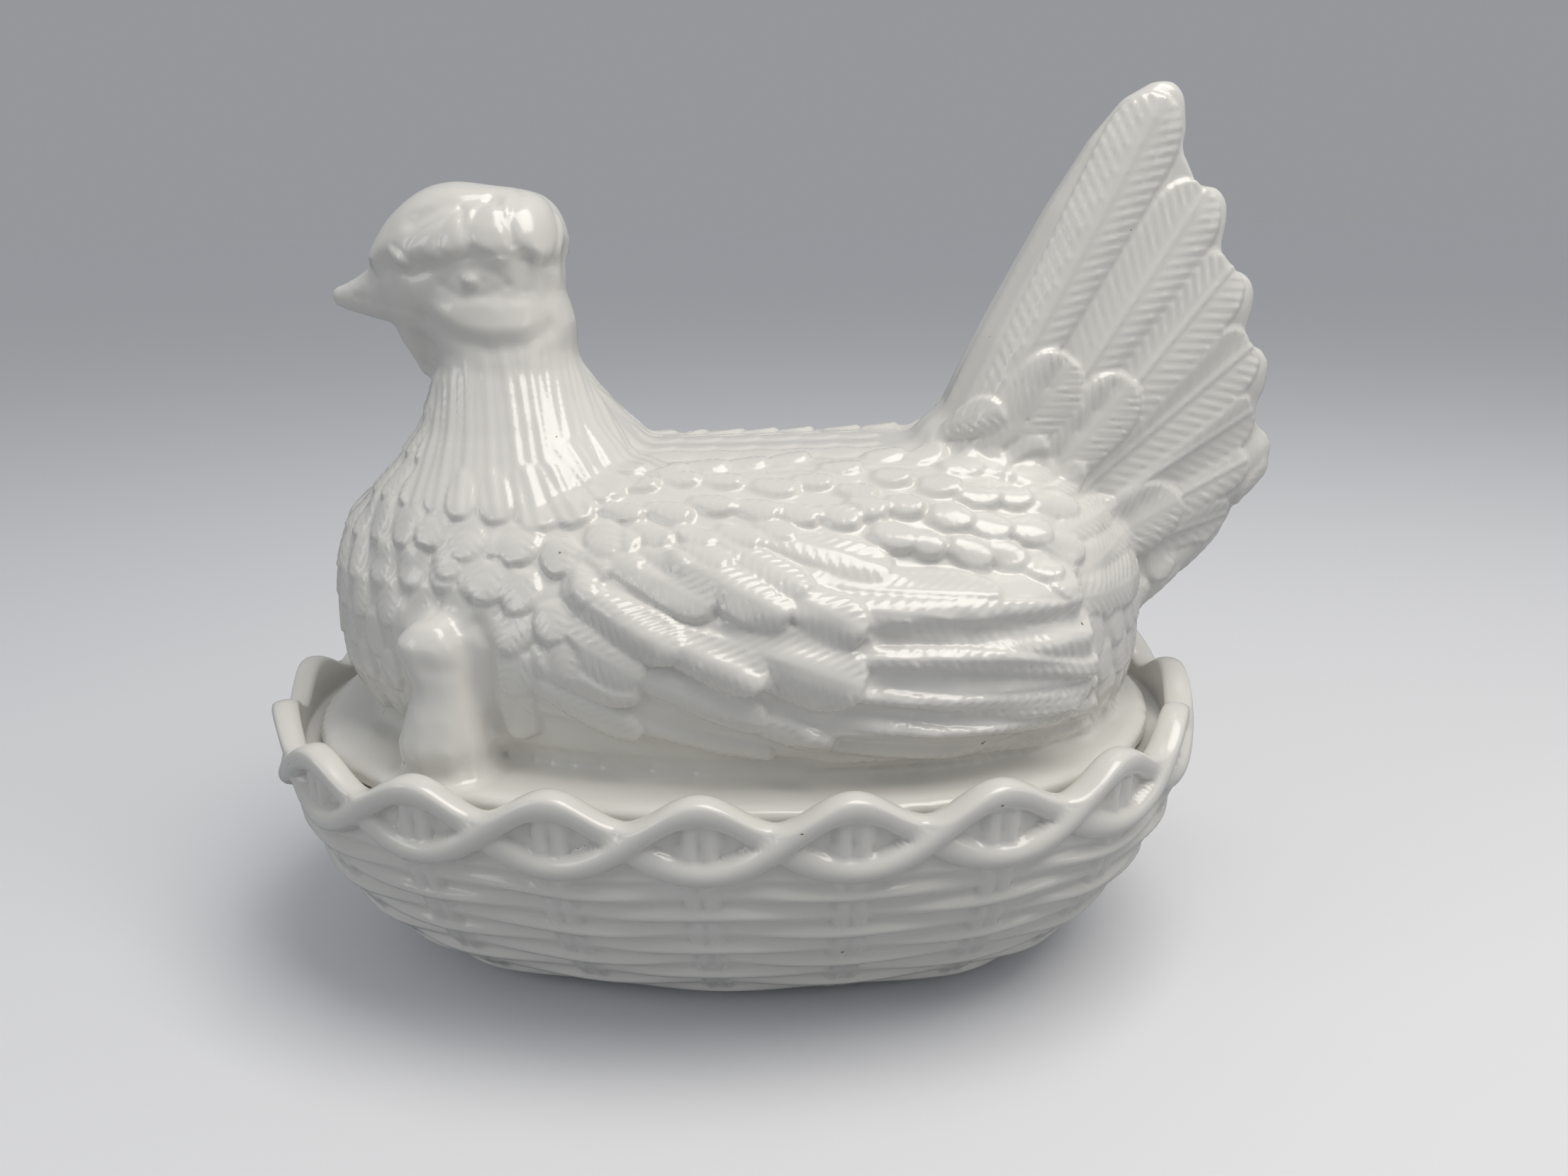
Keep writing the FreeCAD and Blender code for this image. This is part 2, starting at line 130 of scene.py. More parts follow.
forward = np.array([math.sin(YAW) * math.cos(PITCH_DOWN),
                    math.cos(YAW) * math.cos(PITCH_DOWN), math.sin(PITCH_DOWN)])
level_right = np.cross(forward, [0, 0, 1])
level_right /= np.linalg.norm(level_right)
level_up = np.cross(level_right, forward)
right = level_right * math.cos(ROLL) + level_up * math.sin(ROLL)
up = -level_right * math.sin(ROLL) + level_up * math.cos(ROLL)


def sight(u, v):
    """The direction from the camera through a pixel of the photograph."""
    ray = forward * FOCAL + right * (u - PHOTO_WIDTH / 2) - up * (v - PHOTO_HEIGHT / 2)
    return Vector(ray / np.linalg.norm(ray))


print("the picture's middle looks along", sight(PHOTO_WIDTH / 2, PHOTO_HEIGHT / 2))

# %% [markdown]
# Blender's camera looks along its own -Z with Y up, so its matrix is built from the three
# directions above. The focal length in pixels becomes millimetres on a 36 mm sensor.

# %% Place the camera
bpy.ops.object.camera_add()
camera = bpy.context.object
camera.name = "camera"
turn = Matrix([list(right), list(up), list(-forward)]).transposed()
camera.matrix_world = Matrix.Translation((CAMERA + [SHIFT, 0, 0]) * MM) @ turn.to_4x4()
camera.data.sensor_width = SENSOR_WIDTH
camera.data.lens = FOCAL / PHOTO_WIDTH * SENSOR_WIDTH
camera.data.clip_start = 0.01
bpy.context.scene.camera = camera
print("camera", [round(c, 3) for c in camera.location], "lens", round(camera.data.lens, 2))

# %% [markdown]
# ## The nest dish: its outline
#
# The dish is one wall that runs from the foot over the rim and down inside. Modelling weavers
# and strands one by one would need a boolean for each, with seams that a glaze doesn't have.
# Instead the wall is swept as one surface: a profile of rows, each with its distance from the
# rim's middle line and its height at each of 600 columns round the oval. First come the oval
# itself and the plain bowl under the relief.

# %% The oval and the plain bowl
COLUMNS, WALL_ROWS, BRAID_ROWS = 600, 92, 31
BOWL_CURVE = 1.5


def oval(turn, offset):
    """Points of the rim's four-arc oval at shares of a turn, moved out by an offset."""
    middle = RIM_LENGTH - RIM_END
    side = (middle**2 + RIM_WIDTH**2 - RIM_END**2) / (2 * (RIM_WIDTH - RIM_END))
    joint = math.atan2(side - RIM_WIDTH, middle)
    end_length = RIM_END * joint
    quarter = end_length + side * (math.pi / 2 - joint)
    quadrant = np.floor(4 * turn).astype(int) % 4
    along = 4 * turn - np.floor(4 * turn)
    along = np.where(quadrant % 2 == 1, 1 - along, along) * quarter
    at_end = along < end_length
    angle = np.where(at_end, along / RIM_END, joint + (along - end_length) / side)
    radius = np.where(at_end, RIM_END, side) + offset
    x = radius * np.cos(angle) + np.where(at_end, middle, 0)
    y = radius * np.sin(angle) - np.where(at_end, 0, side - RIM_WIDTH)
    return (np.where((quadrant == 1) | (quadrant == 2), -x, x),
            np.where(quadrant >= 2, -y, y))


def bowl_offset(height):
    """How far the outside of the bowl stands from the rim's middle line."""
    share = np.clip(height / BOWL_HEIGHT, 0, 1)
    curve = (1 - (1 - share) ** BOWL_CURVE) ** (1 / BOWL_CURVE)
    return -FOOT_INSET * (1 - curve) + GROUND * curve


print("bowl at the foot", bowl_offset(0), "and under the braid", bowl_offset(BOWL_HEIGHT))

# %% [markdown]
# ## The braid and the weave
#
# Under each scallop of the rim two round strands part, run round an eye with two small stakes
# in it, and cross at the next valley, each over the other in turn. `rope` is the cross-section
# of a strand, and `soft_max` lays one form on another and melts the corner between them, as a
# glaze does. `place` counts scallops: whole at a crest, half at a valley. `NOTHING` is a height
# far below, for places that a strand doesn't reach.

# %% The braid
BRAID_MIDDLE, BRAID_SWING = 63.6, 7.5
STRAND_HALF, STRAND_RISE, STRAND_OVER, STRAND_SINK = 3.2, 2.6, 0.9, 1.0
EYE_SINK, EYE_STAKES, EYE_STAKE_HALF, EYE_STAKE_RISE = 1.6, (-2.1, 2.3), 2.2, 1.5
NOTHING = -9
place = SCALLOPS * np.arange(COLUMNS) / COLUMNS
wave = np.cos(2 * math.pi * place)


def rope(distance, half_width):
    """Cross-section of a round strand: 1 along its middle, 0 at its edges."""
    return np.sqrt(np.clip(1 - (distance / half_width) ** 2, 0, 1))


def soft_max(a, b, blend):
    """The larger of two heights, melted together as under a glaze."""
    return (a + b + np.sqrt((a - b) ** 2 + blend**2)) / 2


def beside_crest(rib):
    """Distance along the rim from a line that stands a little beside each crest."""
    return (place - np.round(place)) * PITCH - rib


def braid(z):
    """How far the braid stands out at a height, for each column."""
    out = np.full(COLUMNS, GROUND - EYE_SINK)
    for which in (1, -1):
        middle = BRAID_MIDDLE + 0.5 * wave + which * BRAID_SWING * np.cos(math.pi * place)
        slope = which * -BRAID_SWING * math.pi * np.sin(math.pi * place) / PITCH
        over = which * -np.sin(math.pi * place)
        half = STRAND_HALF + 0.35 * which * np.cos(math.pi * place)
        strand = rope((z - middle) / np.sqrt(1 + slope**2), half)
        height = GROUND - STRAND_SINK + STRAND_RISE * strand + STRAND_OVER * over * strand
        out = soft_max(out, np.where(strand > 0, height, NOTHING), 0.5)
    for rib in EYE_STAKES:
        stake = rope(beside_crest(rib) - 0.10 * (z - 64), EYE_STAKE_HALF)
        height = GROUND - EYE_STAKE_RISE + EYE_STAKE_RISE * stake
        out = soft_max(out, np.where(stake > 0, height, NOTHING), 0.4)
    return out


print("braid stands out by", braid(BRAID_MIDDLE).max(), "mm")

# %% [markdown]
# The wall below is basket work: weavers run round in courses and pass over and under pairs of
# stakes. Each course is a soft ridge with a faint groove along it. A cosine along the wall
# lifts it over one pair of stakes and lets it sink behind the next, where the stakes show. Two
# slow waves keep the courses from looking ruled.

# %% The weave
COURSE, FIRST_COURSE = 6.1, 4.0
WEAVER_RISE, WEAVER_OVER, WEAVE_INSET = 2.1, 1.0, 2.3
WALL_STAKES, WALL_STAKE_HALF, WALL_STAKE_RISE = (-2.0, 2.0), 2.1, 1.6


def weave(z):
    """How far the woven wall stands out from the bowl's line at a height, for each column."""
    level = z - FIRST_COURSE + 0.5 * np.sin(math.pi * place + 0.8)
    level += 0.35 * np.sin(1.7 * math.pi * place)
    course = np.floor(level / COURSE)
    share = level / COURSE - course
    ridge = 0.5 - 0.5 * np.cos(2 * math.pi * share)
    groove = 0.1 * np.exp(-((share - 0.5) / 0.09) ** 2)
    over = WEAVER_OVER * np.cos(math.pi * (place + course + 1))
    out = (WEAVER_RISE + over) * (ridge - groove)
    for rib in WALL_STAKES:
        stake = WALL_STAKE_RISE * rope(beside_crest(rib), WALL_STAKE_HALF)
        out = soft_max(out, np.where(stake > 0, stake, NOTHING), 0.5)
    return (out - WEAVE_INSET) * smooth_step(1, 8, z)


print("weave half way up:", weave(30 + 0 * place).min(), "to", weave(30 + 0 * place).max(), "mm")

# %% [markdown]
# ## The profile
#
# The rows are listed in the order in which a finger would feel them: the foot ring, the woven
# wall, the braid, over the rounded edge of the rim, down to the ledge that the cover sits on,
# and down the plain inside to the floor. The rim's top rises and falls with the scallops.

# %% The outside of the profile
LIP = 1.4
FOOT = -FOOT_INSET


def level_row(offset, height):
    """A row of the profile that is the same all round."""
    return np.full(COLUMNS, offset), np.full(COLUMNS, height)


rim_top = 67.6 + 6.9 * (0.5 + 0.5 * wave) ** 0.85
braid_low = 54.2 + 3.0 * (0.5 - 0.5 * wave)
rows = [level_row(FOOT - 6, 2.0), level_row(FOOT - 6, 0.5), level_row(FOOT - 5.4, 0.0),
        level_row(FOOT - 1.2, 0.0)]
for step in range(WALL_ROWS):
    z = 0.6 + (braid_low - 0.6) * step / WALL_ROWS
    join = smooth_step(-5.0, 0.0, z - braid_low)
    rows.append((bowl_offset(z) + weave(z) * (1 - join) + join * (braid(z) - GROUND), z))
for step in range(BRAID_ROWS + 1):
    z = braid_low + (rim_top - LIP - braid_low) * step / BRAID_ROWS
    rows.append((braid(z), z))
print("rows outside", len(rows))

# %% [markdown]
# Over the edge and down inside. The edge is a half circle between the braid and the inner
# wall, and the ledge has its corners softened by one more row on each side.

# %% The rim's edge and the inside
EDGE_TURNS = (22, 45, 68, 90, 112, 135, 158, 180)
INNER_ROWS = 9
outer = rows[-1][0]
inner = np.full(COLUMNS, GROUND - WALL)
for angle in np.radians(EDGE_TURNS):
    middle, half = (outer + inner) / 2, (outer - inner) / 2
    rows.append((middle + half * math.cos(angle), rim_top - LIP + LIP * math.sin(angle)))
for step in range(1, INNER_ROWS + 1):
    rows.append((inner, rim_top - LIP + (SEAT + 0.8 - rim_top + LIP) * step / INNER_ROWS))
INSIDE = GROUND - WALL
rows += [level_row(INSIDE - 0.8, SEAT), level_row(INSIDE - LEDGE + 0.6, SEAT),
         level_row(INSIDE - LEDGE, SEAT - 0.6), level_row(INSIDE - LEDGE - 0.4, LEDGE_LOW)]
for share in (0.8, 0.6, 0.42, 0.26, 0.13, 0.05, 0.0):
    z = FLOOR + (LEDGE_LOW - FLOOR) * share
    rows.append(level_row(bowl_offset(z) - WALL - 0.4, z))
print("profile rows", len(rows), "columns", COLUMNS)

# %% [markdown]
# A sphere has just the topology that the dish needs: rings of vertices between two poles. One
# pole becomes the middle of the underside and the other the middle of the floor inside, so the
# mesh is closed from the start. Each vertex finds its ring and column by its angle, and moves
# to its place in the profile.

# %% Sweep the dish
UNDERSIDE = 2.0
BALL = 100
bpy.ops.mesh.primitive_uv_sphere_add(segments=COLUMNS, ring_count=len(rows) + 1,
                                     radius=BALL * MM)
dish = bpy.context.object
dish.name = "dish_glazed"
ball = points_of(dish) - [-SHIFT, 0, 0]
upward = np.arccos(np.clip(-ball[:, 2] / BALL, -1, 1)) / math.pi
ring_number = np.round(upward * (len(rows) + 1)).astype(int)
round_about = np.arctan2(ball[:, 1], ball[:, 0]) / (2 * math.pi)
column = np.round(round_about * COLUMNS).astype(int) % COLUMNS
placed = np.zeros_like(ball)
for number, (offset, height) in enumerate(rows, 1):
    ring = ring_number == number
    x, y = oval(column[ring] / COLUMNS, offset[column[ring]])
    placed[ring] = np.stack([x, y, height[column[ring]]], axis=1)
placed[ring_number == 0] = (0, 0, UNDERSIDE)
placed[ring_number == len(rows) + 1] = (0, 0, FLOOR)
put(dish, placed)
bpy.ops.object.shade_smooth()
print("dish", len(dish.data.vertices), "vertices")

# %% [markdown]
# ## The hen: parting the skin from the hollow
#
# The hen's solid already has her shape, in flat facets, so it is the best block to carve. Its
# outside and its hollow need different treatment: feathers on one, a plain wall on the other.
# The edge round the mouth under the flange parts them, and from one face of the hollow's
# ceiling the rest is found by walking from face to face without crossing that edge.

# %% Find the faces of the hollow
MOUTH_LENGTH, MOUTH_WIDTH = 89.5, 52.6
CEILING, CEILING_LENGTH, CEILING_WIDTH = 0.11, 0.03, 0.02
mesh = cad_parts["hen_cover"].data.copy()
mesh.materials.clear()
work = bmesh.new()
work.from_mesh(mesh)
bpy.data.meshes.remove(mesh)
bmesh.ops.remove_doubles(work, verts=work.verts, dist=0.00001)
bmesh.ops.recalc_face_normals(work, faces=work.faces)


def at_mouth(vert):
    """Tells whether a vertex lies on the flat underside, at the mouth or inside it."""
    return (abs(vert.co.z - SEAT * MM) < 0.00002 and abs(vert.co.y) < MOUTH_WIDTH * MM
            and abs(vert.co.x - SHIFT * MM) < MOUTH_LENGTH * MM)


def on_ceiling(face):
    """Tells whether a face looks down from the roof of the hollow, near its middle."""
    x, y, z = face.calc_center_median()
    return (face.normal.z < -0.8 and z > CEILING and abs(y) < CEILING_WIDTH
            and abs(x) < CEILING_LENGTH)


lip = {edge for edge in work.edges if all(map(at_mouth, edge.verts))
       and any(abs(face.normal.z) < 0.5 for face in edge.link_faces)}
start = min(filter(on_ceiling, work.faces), key=lambda face: face.calc_center_median().z)
inside, front = {start}, [start]
while front:
    for edge in set(front.pop().edges) - lip:
        for other in edge.link_faces:
            if other not in inside:
                inside.add(other)
                front.append(other)
print("faces", len(work.faces), "of the hollow", len(inside), "lip edges", len(lip))

# %% [markdown]
# The hollow's faces become a solid of their own, a plug whose open mouth is drawn down below
# the flange, so that it will later cut cleanly. Both solids are closed again at the mouth.

# %% Make the plug and the skin
PLUG_DROP = 6.0


def closed_copy(name, faces, drop):
    """A closed object from some faces; its open lip is filled, after moving down by drop."""
    numbers = {face.index for face in faces}
    part = work.copy()
    part.faces.ensure_lookup_table()
    gone = [face for face in part.faces if face.index not in numbers]
    bmesh.ops.delete(part, geom=gone, context="FACES")
    edges = [edge for edge in part.edges if edge.is_boundary]
    if drop:
        made = bmesh.ops.extrude_edge_only(part, edges=edges)["geom"]
        verts = [item for item in made if isinstance(item, bmesh.types.BMVert)]
        bmesh.ops.translate(part, vec=(0, 0, -drop), verts=verts)
        edges = [edge for edge in part.edges if edge.is_boundary]
    bmesh.ops.contextual_create(part, geom=edges)
    bmesh.ops.recalc_face_normals(part, faces=part.faces)
    data = bpy.data.meshes.new(name)
    part.to_mesh(data)
    part.free()
    made = bpy.data.objects.new(name, data)
    bpy.context.scene.collection.objects.link(made)
    return made


work.faces.index_update()
hollow = closed_copy("hollow", inside, PLUG_DROP * MM)
outside = closed_copy("hen_outside", set(work.faces) - inside, 0)
work.free()
print("plug", len(hollow.data.polygons), "faces, skin", len(outside.data.polygons), "faces")

# %% [markdown]
# ## A smooth base to carve
#
# A voxel remesh turns the skin into small squares of one size, over the joints between body,
# neck, wings and tail too. Plain smoothing would shrink the thin tail and the beak. So each
# turn moves the vertices towards their neighbours and then a little further back again, which
# melts the facets and keeps the volume. The beak is held most of the way, and the flange and
# the foot of the body fully.

# %% Remesh and relax the skin
VOXEL, RELAX_TURNS = 1.5, 30
TOWARDS, BACK = 0.5, -0.52


def relaxed(obj, turns, hold):
    """Points of a mesh after smoothing that keeps its volume; hold is 1 where they stay put."""
    ends = np.empty(len(obj.data.edges) * 2, np.int32)
    obj.data.edges.foreach_get("vertices", ends)
    first, second = ends.reshape(-1, 2).T
    points = points_of(obj)
    size = len(points)
    count = np.bincount(first, minlength=size) + np.bincount(second, minlength=size)
    free = (1 - hold)[:, None]
    for share in (TOWARDS, BACK) * turns:
        total = np.empty_like(points)
        for axis in range(3):
            total[:, axis] = (np.bincount(first, points[second, axis], size)
                              + np.bincount(second, points[first, axis], size))
        points += share * free * (total / count[:, None] - points)
    return points


bpy.ops.object.select_all(action="DESELECT")
bpy.context.view_layer.objects.active = outside
outside.select_set(True)
outside.data.remesh_voxel_size = VOXEL * MM
bpy.ops.object.voxel_remesh()
base = points_of(outside)
at_beak = smooth_step(-84, -90, base[:, 0]) * smooth_step(150, 156, base[:, 2])
at_foot = smooth_step(66.5, 64, base[:, 2])
put(outside, relaxed(outside, RELAX_TURNS, np.maximum(0.75 * at_beak, at_foot)))
print("remeshed to", len(outside.data.polygons), "faces")

# %% [markdown]
# One subdivision then makes the mesh fine enough for barbs, at less cost than finer voxels.

# %% Subdivide the base
bpy.ops.object.modifier_add(type="SUBSURF")
outside.modifiers[0].levels = 1
bpy.ops.object.modifier_apply(modifier=outside.modifiers[0].name)
base = points_of(outside)
print("base of the hen:", len(base), "vertices")

# %% [markdown]
# ## Finding places in the photograph
#
# Sculpting by hand would be the usual way to feather a hen. Here a script does it, and knows a
# feather by where its root and tip lie in the photograph. A ray from the camera through such a
# pixel meets the base at the real place, and the distance tells how many millimetres a pixel
# is there. All painting is done on the near side: `near` and `facing` fold the far side onto
# it, so she gets the mirror image there, as from a two-part mould.

# %% Look through the photograph
skin = BVHTree.FromObject(outside, bpy.context.evaluated_depsgraph_get())
near = base.copy()
near[:, 1] = -np.abs(base[:, 1])
grain = normals_of(outside)
facing = grain.copy()
facing[:, 1] = np.where(base[:, 1] > 0, -grain[:, 1], grain[:, 1])
relief = np.zeros(len(base))
eye_point = Vector((CAMERA + [SHIFT, 0, 0]) * MM)
INWARD_STEPS, INWARD_SHARE = 12, 0.02
EYE = (664, 397)


def seen_at(u, v, inward=(0, 0)):
    """The point of the base under a pixel, or a little inward of one beside the hen."""
    for step in range(INWARD_STEPS):
        ray = sight(u + step * INWARD_SHARE * inward[0], v + step * INWARD_SHARE * inward[1])
        hit, normal, _, distance = skin.ray_cast(eye_point, ray)
        if hit is not None:
            return from_metres(hit), np.array(normal), distance / MM / FOCAL
    return None, None, 0


print("the eye lies at", seen_at(*EYE)[0])

# %% [markdown]
# ## Kinds of feather
#
# One feather is a scale with a rounded tip: thin at the root, thick and crowned at the tip,
# with a shaft down its middle and slanting barbs on both sides. The hen's feathers differ only
# in how strong each of these is, so one table holds them all, in millimetres. A modeller would
# keep a stamp for each kind in the same way.

# %% Kinds of feather
KINDS = {
    # thickness at the tip, crown, shaft ridge, barbs, pitch of the barbs, squareness of the tip
    "scale": (1.3, 1.5, 0.0, 0.12, 2.4, 2.0),
    "down": (0.8, 0.9, 0.0, 0.08, 2.4, 2.0),
    "low": (0.35, 0.5, 0.0, 0.06, 2.4, 2.0),
    "covert": (1.6, 1.7, 0.10, 0.16, 2.4, 2.0),
    "flight": (1.6, 0.9, 0.25, 0.18, 2.8, 2.6),
    "long": (0.9, 0.9, 0.15, 0.10, 2.8, 2.4),
    "tail": (0.8, 0.7, 0.40, 0.10, 3.2, 2.2),
    "hackle": (0.6, 0.5, 0.0, 0.0, 3.0, 2.0),
    "hem": (1.5, 1.0, 0.0, 0.0, 3.0, 2.0),
    "bead": (1.4, 2.4, 0.0, 0.06, 2.4, 2.0),
    "lobe": (0.4, 2.6, 0.0, 0.0, 3.0, 3.0),
}
print(len(KINDS), "kinds of feather")

# %% [markdown]
# ## The brush
#
# A feather is worked out in its own directions, along, across and out, for the vertices close
# to it. The mask fades it in at the root and ends it sharply at the tip, so a feather painted
# later lies over earlier ones, as on the bird. Raising the skin keeps it one closed surface,
# where several hundred small solids would need a boolean each.

# %% The brush
SHAFT_HALF, BARB_SLANT = 0.55, 0.9
HACKLE_GROOVE, HACKLE_PITCH = 0.13, 3.4


def paint(root, tip, normal, width, kind, bend=0.0):
    """Raises one feather on the base, between two points in millimetres."""
    thick, crown, ridge, barbs, barb_pitch, square = KINDS[kind]
    axis = tip - root
    length = np.linalg.norm(axis)
    axis = axis / length
    side = np.cross(normal, axis)
    side /= np.linalg.norm(side)
    out = np.cross(axis, side)
    middle = (root + tip) / 2
    reach = length * 0.62 + width * 0.5
    close = np.nonzero(((near - middle) ** 2).sum(1) < reach**2)[0]
    local = near[close] - root
    a = local @ axis / length
    b = local @ side - bend * 4 * a * (1 - a)

    # the outline: half the width at each place along the feather
    tip_start = max(0.35, 1 - width * 0.62 / length)
    past = np.clip((a - tip_start) / (1 - tip_start), 0, 1)
    narrow = 0.72 + 0.28 * smooth_step(0, tip_start, a)
    edge = width / 2 * narrow * (1 - past**square) ** (1 / square)
    across = np.clip(np.abs(b) / np.maximum(edge, 0.01), 0, 1)

    # the mask: inside the outline, near the surface, and on skin that faces the same way
    gap = np.minimum(edge - np.abs(b), (1 - a) * length)
    soft = min(1.5, 0.16 * width + 0.4)
    depth = np.abs((near[close] - middle) @ out)
    mask = smooth_step(0, soft, gap) * smooth_step(-0.10, 0.12, a)
    mask *= smooth_step(1.0, 0.5, depth / (0.45 * length + 0.7 * width))
    mask *= smooth_step(0.1, 0.4, facing[close] @ out)

    height = thick * (0.25 + 0.75 * np.clip(a, 0, 1)) + crown * (1 - across**2) * 0.5
    height += ridge * np.exp(-(b / SHAFT_HALF) ** 2)
    if barbs:
        phase = (a * length - BARB_SLANT * np.abs(b)) / barb_pitch
        fade = smooth_step(0.1, 0.35, across) * smooth_step(0.0, 0.2, a)
        height += barbs * np.sin(2 * math.pi * phase) * fade
    if kind in ("hackle", "hem"):
        height += HACKLE_GROOVE * np.cos(2 * math.pi * b / HACKLE_PITCH)
    relief[close] = relief[close] * (1 - mask) + height * mask


print("barbs slant by", round(math.degrees(math.atan(BARB_SLANT))), "degrees")

# %% [markdown]
# Most feathers are told in pixels. Small ones come in long rows, and a modeller's hand is never
# quite even, so scales and beads are shifted a little by two sine waves of their place. A sine
# gives the same result on each run.

# %% Feathers told in pixels
def paint_seen(kind, feathers):
    """Paints feathers told in pixels: root u, v, tip u, v, width, and a bend to one side."""
    for u0, v0, u1, v1, width, *bend in feathers:
        if kind in ("scale", "bead"):
            sway, lift = math.sin(0.9 * u0 + 1.7 * v0), math.sin(1.3 * u0 - 0.7 * v0)
            u0, u1 = u0 + 5 * sway, u1 + 8 * sway
            v0, v1, width = v0 + 4 * lift, v1 + 7 * lift, width + 4 * sway
        root, root_normal, scale = seen_at(u0, v0, (u1 - u0, v1 - v0))
        tip, tip_normal, _ = seen_at(u1, v1, (u0 - u1, v0 - v1))
        if root is None or tip is None:
            print("beside the hen:", kind, u0, v0)
            continue
        paint(root, tip, (root_normal + tip_normal) / 2, width * scale, kind,
              sum(bend) * scale)


def in_rows(length, width, table):
    """Feathers of one size in rows: each row has its own fall, and a list of roots."""
    return [(u, v, u + length, v + fall, width) for fall, roots in table for u, v in roots]


print(len(in_rows(66, 50, [(0, [(0, 0), (60, 0)])])), "feathers in a row of two")

# %% [markdown]
# The photograph can't show the front of the breast, the rump, or the top of the back. Their
# feathers are guessed, at the spacing of those that can be seen, and lower, so that they don't
# roughen the outline. Rays from outside towards a line in the body lay rows round each end,
# every row over the next lower one, and rays from above lay the rows over the back.

# %% Feathers that the photograph can't show
ROUND_LOW, ROUND_STEP, ROUND_TURN = 82, 9.0, 9.6
ROUND_FALL, ROUND_WIDTH, FARTHEST = 9.5, 9.8, 18
TOP_ROWS, TOP_STEP, TOP_LENGTH, TOP_LIMIT = (-31, -23, -15, -6), 10.5, 13, 141


def paint_round(middle, way_x, reach, rows, lean):
    """Rows of feathers round one end of the body, beyond reach; way_x is -1 at the breast."""
    for row in range(rows):
        for step in range(-1, 13):
            uneven = math.sin(12.9 * row + 7.3 * step)
            turn = -4 + ROUND_TURN * (step + 0.5 * (row % 2)) + 1.4 * uneven
            angle = math.radians(turn)
            way = Vector((way_x * math.cos(angle), -math.sin(angle), 0))
            z = ROUND_LOW + row * ROUND_STEP
            start = Vector(((middle + SHIFT) * MM, 0, z * MM)) + way * 0.12
            hit, normal, _, _ = skin.ray_cast(start, -way)
            low_hit = skin.ray_cast(start - Vector((0, 0, ROUND_FALL * MM)), -way)[0]
            if hit is None or low_hit is None:
                continue
            top, tip = from_metres(hit), from_metres(low_hit)
            if way_x * tip[0] < reach or np.linalg.norm(top - tip) > FARTHEST:
                continue
            tip += [lean, 0, 0.8 * math.sin(5.1 * row + 11.7 * step)]
            root = top + 0.25 * (top - tip)
            paint(root, tip, np.array(normal), ROUND_WIDTH + 0.9 * uneven, "down")


def paint_top():
    """Low feathers over the top of the back, from its sides up to the middle."""
    for row, y in enumerate(TOP_ROWS):
        for step in range(9, -1, -1):
            x = -40 + TOP_STEP * step + 5 * (row % 2)
            above = [Vector(((x + along + SHIFT) * MM, y * MM, 0.2))
                     for along in (0, TOP_LENGTH)]
            hits = [skin.ray_cast(point, Vector((0, 0, -1))) for point in above]
            root, tip = (from_metres(hit[0]) for hit in hits)
            if max(root[2], tip[2]) < TOP_LIMIT:
                paint(root, tip, np.array(hits[0][1]), 9.6, "low")


paint_round(middle=45, way_x=1, reach=80, rows=6, lean=0)
paint_top()
print("rump and top of the back painted, relief", relief.max())

# %% [markdown]
# ## The tail
#
# The tail is a fan of long feathers. The lowest comes first, then each lies over the one
# behind it. Rounded coverts hide their roots, and rows of bead-like scales run over the rump.
# The order matters: whatever is painted last lies on top, as on the real bird.

# %% Paint the tail
TAIL_FEATHERS = [
    (1560, 830, 1735, 720, 70), (1545, 790, 1765, 645, 80), (1530, 760, 1772, 575, 92),
    (1500, 720, 1770, 484, 100), (1480, 690, 1746, 368, 104), (1450, 650, 1706, 262, 108),
    (1400, 590, 1648, 130, 116)]
TAIL_COVERTS = [
    (1540, 800, 1668, 700, 105), (1470, 690, 1600, 535, 100), (1385, 660, 1515, 505, 100),
    (1500, 860, 1603, 800, 78), (1495, 755, 1575, 712, 60), (1450, 700, 1535, 660, 60),
    (1400, 660, 1482, 628, 60), (1325, 606, 1420, 580, 62)]
RUMP_ROWS = [
    (24, ((1440, 790), (1390, 772), (1335, 762), (1280, 752), (1225, 738))),
    (18, ((1470, 765), (1415, 745), (1360, 730), (1305, 722), (1250, 708), (1195, 700))),
    (8, ((1450, 712), (1400, 700), (1345, 690), (1290, 682), (1235, 672))),
    (-6, ((1420, 672), (1370, 660), (1320, 655), (1270, 645), (1220, 640)))]
paint_seen("tail", TAIL_FEATHERS)
paint_seen("covert", TAIL_COVERTS)
paint_seen("bead", in_rows(64, 58, RUMP_ROWS))
print("tail painted, relief", relief.min(), relief.max())

# %% [markdown]
# ## The wing
#
# Long flight feathers lie one over the other from the top edge down, and large coverts hide
# where they start. They get the deepest barbs and a clear shaft, because the wing is what the
# eye goes to first.

# %% Paint the wing
FLIGHT_FEATHERS = [
    (1120, 1085, 1500, 1052, 42), (1120, 1050, 1540, 1022, 44), (1150, 1012, 1547, 992, 40),
    (1150, 975, 1548, 962, 46), (1160, 930, 1546, 934, 58)]
LONG_FEATHERS = [
    (1120, 826, 1420, 846, 112), (1130, 848, 1546, 898, 92, -8), (1030, 742, 1262, 806, 74),
    (900, 1030, 1095, 1072, 50)]
WING_COVERTS = [
    (1010, 1005, 1180, 1052, 58), (886, 950, 1085, 1022, 68), (752, 962, 908, 1040, 66),
    (712, 985, 752, 1042, 56), (700, 905, 745, 968, 60), (1020, 905, 1225, 972, 122),
    (880, 880, 1085, 965, 86), (1070, 820, 1226, 896, 84), (745, 930, 905, 985, 66),
    (770, 880, 912, 960, 84), (945, 790, 1118, 873, 86), (1000, 755, 1145, 838, 62),
    (800, 835, 962, 925, 84), (860, 785, 1010, 862, 76)]
paint_seen("flight", FLIGHT_FEATHERS)
paint_seen("long", LONG_FEATHERS)
